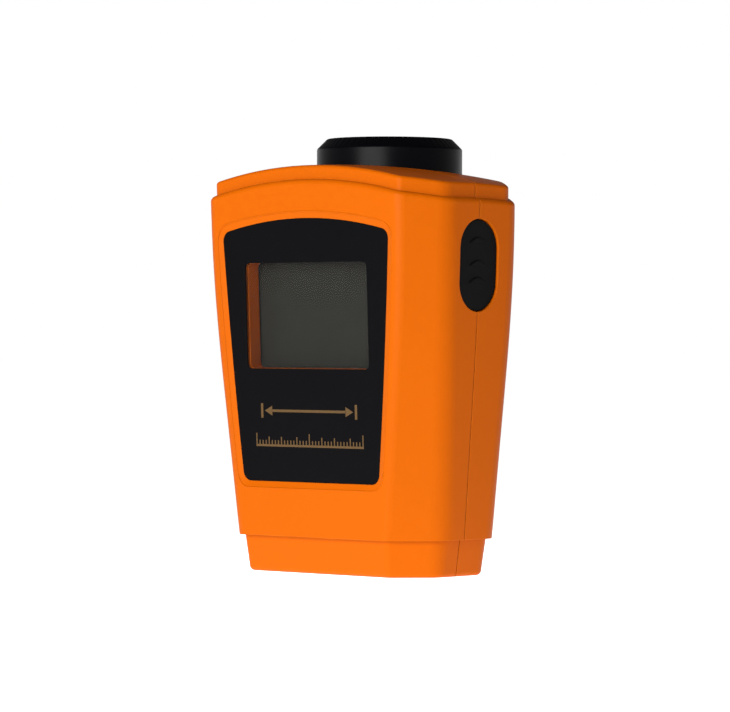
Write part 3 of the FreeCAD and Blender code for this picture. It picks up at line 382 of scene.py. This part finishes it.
def board_finish():
    """Printed circuit board: green mask over thin copper tracks, with the glass weave showing."""
    green = (0.012, 0.085, 0.030)
    made = Finish("board", green, 0.35)
    tracks = made.spread(made.cells(260, "DISTANCE_TO_EDGE"), 1.0, 0.0, 0.04, 0.07)
    weave = made.sum(made.bands(420, "X"), made.bands(420, "Z"))
    mask = made.shaded(made.spread(weave, 0.88, 1.0, 0.0, 2.0), green)
    made.colour(made.mixed(tracks, mask, (0.035, 0.19, 0.060)))
    made.roughness(made.spread(made.noise(240, 3), 0.28, 0.45))
    made.relief(tracks, 0.03 * MM)
    return made.material


def zebra_finish():
    """Elastomer strip: black and pink conducting layers in turn along its length."""
    made = Finish("zebra", (0.03, 0.03, 0.03), 0.7, specular=0.3)
    layers = made.spread(made.bands(640, "X"), 0.0, 1.0, 0.4, 0.6)
    made.colour(made.mixed(layers, (0.02, 0.02, 0.02), (0.52, 0.20, 0.19)))
    made.roughness(made.spread(made.noise(900, 2), 0.62, 0.8))
    made.relief(layers, 0.01 * MM)
    return made.material


def chip_finish():
    """Black moulding compound with a fine sandy surface."""
    return moulded("chip", (0.012, 0.012, 0.013), 0.62, grain=5200, depth=0.01 * MM, edge_wear_and_highlight_strength=0.3)


def core_finish():
    """Transformer: enamelled copper turns on a dark ferrite core."""
    made = Finish("core", (0.35, 0.10, 0.03), 0.35, metallic=0.6)
    turns = made.bands(520, "Z")
    made.colour(made.mixed(turns, (0.10, 0.025, 0.012), (0.55, 0.19, 0.06)))
    made.roughness(made.spread(made.noise(500, 3), 0.25, 0.5))
    made.relief(turns, 0.08 * MM)
    return made.material


def sleeve_finish():
    """Capacitor sleeve: dark shrink plastic with a pale polarity stripe down one side."""
    made = Finish("sleeve", (0.01, 0.012, 0.03), 0.35)
    stripe = made.spread(made.bands(44, "X"), 0.0, 1.0, 0.86, 0.9)
    made.colour(made.mixed(stripe, (0.010, 0.012, 0.035), (0.42, 0.43, 0.45)))
    made.roughness(made.spread(made.noise(300, 3), 0.28, 0.45))
    made.relief(made.noise(800, 2), 0.01 * MM)
    return made.material


def battery_finish():
    """A plain cell's printed jacket: dark lower part, copper-coloured band above, foil sheen."""
    low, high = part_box("battery_case")
    made = Finish("battery", (0.02, 0.02, 0.022), 0.3, metallic=0.5)
    band = low.z + 0.68 * (high.z - low.z)
    split = made.spread(made.along("Z"), 0.0, 1.0, band - 0.05 * MM, band + 0.05 * MM)
    crimp_low = made.spread(made.along("Z"), 1.0, 0.0, low.z + 1.1 * MM, low.z + 1.2 * MM)
    crimp_high = made.spread(made.along("Z"), 0.0, 1.0, high.z - 1.2 * MM, high.z - 1.1 * MM)
    printed = made.mixed(split, (0.018, 0.019, 0.022), (0.48, 0.21, 0.075))
    steel = (0.52, 0.50, 0.47)
    cased = made.mixed(crimp_low, printed, steel)
    made.colour(made.mixed(crimp_high, cased, steel))
    scuff = made.noise(500, 5, made.stretched((1.0, 1.0, 0.15)))
    made.roughness(made.spread(scuff, 0.22, 0.5))
    made.relief(scuff, 0.006 * MM, 0.15 * MM)
    return made.material


def ink_finish():
    """Gold-coloured screen ink: a dull tan with fine speckle."""
    colour = (0.076, 0.040, 0.0100)
    made = Finish("ink", colour, 0.5, specular=0.2)
    made.colour(made.shaded(made.spread(made.noise(2400, 3), 0.8, 1.0), colour))
    made.roughness(made.spread(made.noise(900, 3), 0.42, 0.58))
    made.relief(made.noise(3600, 2), 0.003 * MM)
    return made.material


def print_finish():
    """Black ink under a fine satin skin."""
    colour = (0.0018, 0.0018, 0.0023)
    made = Finish("print", colour, 0.42, specular=0.03)
    made.colour(made.shaded(made.spread(made.noise(240, 4), 0.85, 1.0), colour))
    made.roughness(made.spread(made.noise(900, 3), 0.36, 0.5))
    made.relief(made.noise(3600, 2), 0.003 * MM, 0.08 * MM)
    return made.material


def make_finishes():
    """Every material slot of the record, by name."""
    made = {
        # The casing's paler, yellower edge colour and its strength are partly worn plastic and partly a
        # painted highlight along the rounded edges.
        "casing": moulded("casing", (0.40, 0.074, 0.0006), 0.38, specular=0.03, edge=0.3 * MM,
                          edge_wear_and_highlight_strength=0.35, pale=(0.62, 0.16, 0.012)),
        "key": rubber("key", (0.0018, 0.0019, 0.0020), 0.6, specular=0.05, grain=2600, depth=0.01 * MM,
                      dust=0.04),
        "collar": moulded("collar", (0.0008, 0.0008, 0.0014), 0.33, specular=0.05, edge_wear_and_highlight_strength=0.04),
        "seal": rubber("seal", (0.016, 0.016, 0.017)),
        "can": metal("can", (0.62, 0.62, 0.60), 0.30),
        "cone": metal("cone", (0.70, 0.69, 0.66), 0.38, (1.0, 1.0, 1.0)),
        "mesh": metal("mesh", (0.46, 0.46, 0.45), 0.32, (1.0, 1.0, 1.0), 1800),
        "pin": metal("pin", (0.78, 0.72, 0.55), 0.25),
        "brass": metal("brass", (0.74, 0.50, 0.20), 0.28, (1.0, 1.0, 14.0)),
        "diode": metal("diode", (0.68, 0.55, 0.32), 0.30),
        "lens": clear_finish("lens", (0.010, 0.010, 0.010), 0.22),
        "print": print_finish(),
        "ink": ink_finish(),
        "display_frame": moulded("display_frame", (0.010, 0.010, 0.011), 0.55, edge_wear_and_highlight_strength=0.08),
        "display": display_finish(),
        "reflector": metal("reflector", (0.80, 0.80, 0.78), 0.45, (1.0, 1.0, 1.0), 2600),
        "zebra": zebra_finish(),
        "board": board_finish(),
        "chip": chip_finish(),
        "core": core_finish(),
        "sleeve": sleeve_finish(),
        "bead": rubber("bead", (0.05, 0.16, 0.05), 0.4, 0.5, 700),
        "screw": metal("screw", (0.42, 0.42, 0.43), 0.34, (1.0, 8.0, 1.0)),
        "plunger": moulded("plunger", (0.62, 0.60, 0.54), 0.45),
        "battery": battery_finish(),
        "snap": moulded("snap", (0.014, 0.014, 0.015), 0.5),
        "foam": rubber("foam", (0.045, 0.045, 0.048), 0.95, 0.1, 900, 0.12 * MM),
    }
    wires = {"red": (0.42, 0.012, 0.010), "black": (0.012, 0.012, 0.013), "white": (0.62, 0.61, 0.57),
             "blue": (0.015, 0.05, 0.30), "yellow": (0.58, 0.40, 0.02)}
    for name, colour in wires.items():
        made[name + "_wire"] = insulation(name + "_wire", colour)
    return made


def finish_nodes(finishes):
    """Give each node of the frame the finish that the record names for it."""
    for row in frame["record"]["subparts"]:
        mesh = frame["nodes"][row["node"]].data
        mesh.materials.clear()
        mesh.materials.append(finishes[row["material_slot"]])


# ---------------------------------------------------------------- mesh helpers


def add_piece(name, points, faces, slot, body, flat=False):
    """A mesh piece in its finish, riding on a body of the frame."""
    mesh = bpy.data.meshes.new(name)
    mesh.from_pydata(points, [], faces)
    mesh.validate()
    if not flat:
        mesh.shade_smooth()
    mesh.materials.append(FINISHES[slot])
    piece = bpy.data.objects.new(name, mesh)
    bpy.context.scene.collection.objects.link(piece)
    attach(piece, body)
    return piece


def ring_faces(rings, sides, closed):
    """Quads between rings of points; closed joins the last ring to the first."""
    faces = []
    for ring in range(rings if closed else rings - 1):
        here = ring * sides
        there = ((ring + 1) % rings) * sides
        for n in range(sides):
            after = (n + 1) % sides
            faces.append((here + n, here + after, there + after, there + n))
    return faces


def softened(corners, radius, steps=4):
    """A closed outline with each corner cut to a small curve."""
    points = []
    for n, corner in enumerate(corners):
        corner = Vector(corner)
        sides = [Vector(corners[n - 1]) - corner, Vector(corners[(n + 1) % len(corners)]) - corner]
        first, last = [corner + side.normalized() * min(radius, side.length * 0.45) for side in sides]
        for step in range(steps + 1):
            t = step / steps
            points.append(first * (1 - t) ** 2 + corner * (2 * t * (1 - t)) + last * t ** 2)
    return points


def tube(line, radius, sides=6):
    """Points and faces of a round wire with closed ends along a line of points."""
    points, faces = [], []
    for n, here in enumerate(line):
        run = (line[min(n + 1, len(line) - 1)] - line[max(n - 1, 0)]).normalized()
        across = run.orthogonal().normalized() if n == 0 else (across - run * across.dot(run)).normalized()
        other = run.cross(across)
        for side in range(sides):
            angle = 2 * math.pi * side / sides
            points.append(here + (across * math.cos(angle) + other * math.sin(angle)) * radius)
    faces += ring_faces(len(line), sides, False)
    faces.append(tuple(reversed(range(sides))))
    faces.append(tuple(range(len(points) - sides, len(points))))
    return points, faces


def joined(parts):
    """Several lists of points and faces as one."""
    points, faces = [], []
    for more_points, more_faces in parts:
        start = len(points)
        points += more_points
        faces += [tuple(start + n for n in face) for face in more_faces]
    return points, faces


def face_point(x, depth, up):
    """A point given in the plane of the display face, in metres."""
    y = depth * math.cos(FACE_TILT) - up * math.sin(FACE_TILT) + FACE_AT_FLOOR
    z = depth * math.sin(FACE_TILT) + up * math.cos(FACE_TILT)
    return Vector((x, y, z))


# ---------------------------------------------------------------- sounding horn

def add_collar():
    """The round collar: funnel mouth, chamfered rim with fine grip notches, and the flange under the roof."""
    low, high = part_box("horn_collar")
    middle = (low + high) / 2
    top = high.z
    side, rim, mouth, throat = 17.25 * MM, 14.8 * MM, 13.6 * MM, 8.4 * MM
    chamfer, notched_share = 2.45 * MM, 0.45
    bore, barrel, flange, wall = 10.05 * MM, 11.25 * MM, 18.0 * MM, 15.6 * MM
    hollow_top = top - 5.8 * MM
    throat_level, flange_low, flange_top = 85.0 * MM, 86.4 * MM, 88.4 * MM
    notches, steps_per_notch, notch_depth = 60, 8, 0.14 * MM
    steps, flare = 8, 1.25
    funnel = [(throat + (mouth - throat) * (n / steps) ** flare,
               throat_level + (top - 0.5 * MM - throat_level) * n / steps) for n in range(steps + 1)]
    corners = [(bore, low.z), (bore, throat_level)] + funnel + [
        (mouth + 0.4 * MM, top), (rim, top), (side, top - chamfer), (side, flange_top),
        (flange, flange_top), (flange, flange_low), (wall, flange_low),
        (wall, hollow_top), (mouth - 0.2 * MM, hollow_top),
        (barrel, throat_level + 1.2 * MM), (barrel, low.z)]
    outline = softened(corners, 0.3 * MM)
    sides = notches * steps_per_notch
    points = []
    for r, z in outline:
        on_rim = r > mouth + 0.6 * MM and z > top - chamfer * notched_share
        for n in range(sides):
            angle = 2 * math.pi * n / sides
            groove = notch_depth * (0.5 + 0.5 * math.cos(angle * notches)) ** 3 if on_rim else 0.0
            here = r - groove
            points.append((middle.x + here * math.cos(angle), middle.y + here * math.sin(angle), z))
    collar = add_piece("collar", points, ring_faces(len(outline), sides, True), "collar", "housing")
    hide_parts("horn_collar")


def add_grille():
    """The woven wire disc over the ultrasonic sensor, held in a thin ring."""
    low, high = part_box("transducer_mesh")
    middle = (low + high) / 2
    reach = (high.x - low.x) / 2 - 0.15 * MM
    pitch, wire, swing, ring_wire = 0.62 * MM, 0.075 * MM, 0.075 * MM, 0.14 * MM
    steps_per_pitch = 6
    count = int(reach / pitch)
    parts = []
    for way in (0, 1):
        for n in range(-count, count + 1):
            across = n * pitch
            half = math.sqrt(reach ** 2 - across ** 2)
            steps = max(2, int(half / pitch * steps_per_pitch))
            line = []
            for step in range(-steps, steps + 1):
                run = half * step / steps
                lift = swing * math.cos(math.pi * run / pitch) * (-1) ** (n + way)
                flat = (run, across) if way == 0 else (across, run)
                line.append(middle + Vector((*flat, lift)))
            parts.append(tube(line, wire))
    turns = 72
    circle = [middle + Vector((reach * math.cos(2 * math.pi * n / turns),
                               reach * math.sin(2 * math.pi * n / turns), 0)) for n in range(turns + 1)]
    parts.append(tube(circle, ring_wire, 8))
    grille = add_piece("sensor_grille", *joined(parts), "mesh", "housing")
    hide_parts("transducer_mesh")


# ---------------------------------------------------------------- rim round the panel's recess

def rim_line(outset):
    """The panel's outline moved out, across and up in millimetres: bowed sides, arched top, round corners."""
    reach, steps = 3.0, 30
    low, high, shoulder = 21.4 - outset, 82.9 + outset, 79.7 + 0.9 * outset
    foot, middle, top = 21.3 + 0.9 * outset, 24.1 + outset, 26.2 + outset
    bow = middle - (foot + top) / 2
    shares = [n / steps for n in range(steps + 1)]
    right = [Vector((foot + (top - foot) * t + 4 * bow * t * (1 - t), low + (shoulder - low) * t))
             for t in shares]
    arch = [Vector((top * (1 - 2 * t), high - (high - shoulder) * (1 - 2 * t) ** 2)) for t in shares]
    left = [Vector((-point.x, point.y)) for point in reversed(right)]
    base = [Vector((foot * (2 * t - 1), low)) for t in shares]
    runs = [right, arch, left, base]
    line = []
    for n, run in enumerate(runs):
        corner, after = run[-1], runs[(n + 1) % len(runs)]
        kept = [point for point in run
                if (point - run[0]).length > reach and (point - corner).length > reach]
        start, end = kept[-1], [point for point in after if (point - corner).length > reach][0]
        line += kept
        for t in (0.2, 0.4, 0.6, 0.8):
            line.append(start * (1 - t) ** 2 + corner * (2 * t * (1 - t)) + end * t ** 2)
    return line


def add_panel_rim():
    """The fine raised bead where the casing's face turns down to the panel."""
    radius, sunk = 0.2 * MM, 0.09 * MM
    line = [face_point(point.x * MM, sunk, point.y * MM) for point in rim_line(1.55)]
    add_piece("panel_rim", *tube(line + [line[0]], radius, 10), "casing", "housing")


# ---------------------------------------------------------------- marks on the panel

def inked(outline):
    """A thin flat mark on the printed panel, from its outline across and up in millimetres."""
    count = len(outline)
    points = [face_point(x * MM, depth, up * MM)
              for depth in (PRINT_DEPTH - INK_THICKNESS, PRINT_DEPTH) for x, up in outline]
    faces = [tuple(range(count)), tuple(reversed(range(count, 2 * count)))]
    for n in range(count):
        after = (n + 1) % count
        faces.append((n, n + count, after + count, after))
    return points, faces


def bar_mark(left, right, low, high):
    """An upright or level bar of ink."""
    return inked([(left, low), (right, low), (right, high), (left, high)])


def add_marks():
    """A plain sign for measuring a distance: a double arrow between two walls, and a scale under it."""
    middle, half, wall = 38.0, 15.2, 0.7
    wall_rise, shaft_rise, head_rise = 1.7, 0.3, 1.15
    shaft_inset, head_inset, tip_gap = 3.4, 3.6, 0.5
    marks = [bar_mark(-half, -half + wall, middle - wall_rise, middle + wall_rise),
             bar_mark(half - wall, half, middle - wall_rise, middle + wall_rise),
             bar_mark(-half + shaft_inset, half - shaft_inset, middle - shaft_rise, middle + shaft_rise)]
    for side in (-1, 1):
        tip = side * (half - wall - tip_gap)
        back = side * (half - head_inset)
        head = [(tip, middle), (back, middle + head_rise), (back, middle - head_rise)]
        marks.append(inked(head if side < 0 else head[::-1]))
    base, reach, line, inset = 29.6, 17.0, 0.5, 0.2
    marks.append(bar_mark(-reach, reach, base, base + line))
    ticks, group, tick_half = 35, 17, 0.17
    tall, medium, short = 3.1, 2.3, 1.5
    for n in range(ticks):
        x = -reach + inset + (2 * reach - 2 * inset) * n / (ticks - 1)
        rise = tall if n % group == 0 else medium if n % group in (4, 8, 13) else short
        marks.append(bar_mark(x - tick_half, x + tick_half, base + line, base + rise))
    add_piece("panel_marks", *joined(marks), "ink", "housing", flat=True)


# ---------------------------------------------------------------- grips on the measuring key

def grip_outline(half, rise, thickness, steps=14):
    """A half-moon across a key: a bowed edge above, a flatter one below."""
    points = []
    for step in range(steps + 1):
        t = -1 + 2 * step / steps
        points.append((half * t, rise * (1 - t * t)))
    for step in range(1, steps):
        t = 1 - 2 * step / steps
        points.append((half * t, (rise - thickness) * (1 - t * t)))
    return points


def surface_point(piece, y, z):
    """Where a level line from the object's right first meets a piece."""
    found, spot, normal, face = piece.ray_cast(Vector((0.1, y, z)), Vector((-1, 0, 0)))
    if not found:
        raise RuntimeError("no surface of %s at %.4f, %.4f" % (piece.name, y, z))
    return spot


def add_key_grips():
    """Three raised half-moons that keep a finger from slipping off the key."""
    key = frame["nodes"]["side_button"]
    low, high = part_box("side_button")
    middle_y, middle_z = (low.y + high.y) / 2, 71.8 * MM
    height, sunk, slope, shoulder = 0.3 * MM, 0.35 * MM, 0.25, 0.6
    offsets = (5.1, -0.2, -4.1)
    parts = []
    for offset in offsets:
        outline = grip_outline(2.9 * MM, 1.35 * MM, 1.15 * MM)
        count = len(outline)
        centre = (sum(y for y, z in outline) / count, sum(z for y, z in outline) / count)
        points = []
        for lift, shrink in ((-sunk, 1.0), (height * shoulder, 1.0), (height, 1.0 - slope)):
            for y, z in outline:
                y = centre[0] + (y - centre[0]) * shrink
                z = centre[1] + (z - centre[1]) * shrink
                foot = surface_point(key, middle_y + y, middle_z + offset * MM + z)
                points.append(foot + Vector((lift, 0, 0)))
        faces = ring_faces(3, count, False)
        faces.append(tuple(reversed(range(count))))
        faces.append(tuple(range(2 * count, 3 * count)))
        parts.append((points, faces))
    add_piece("key_grips", *joined(parts), "key", "key", flat=True)


FINISHES = make_finishes()
add_camera()
add_surroundings()
add_floor()
add_softbox("key_light", azimuth=14, elevation=14, distance=0.9, width=0.66, height=0.5, power=13.3)
finish_nodes(FINISHES)
add_collar()
add_grille()
add_panel_rim()
add_marks()
add_key_grips()

bpy.context.scene.view_settings.view_transform = "Standard"
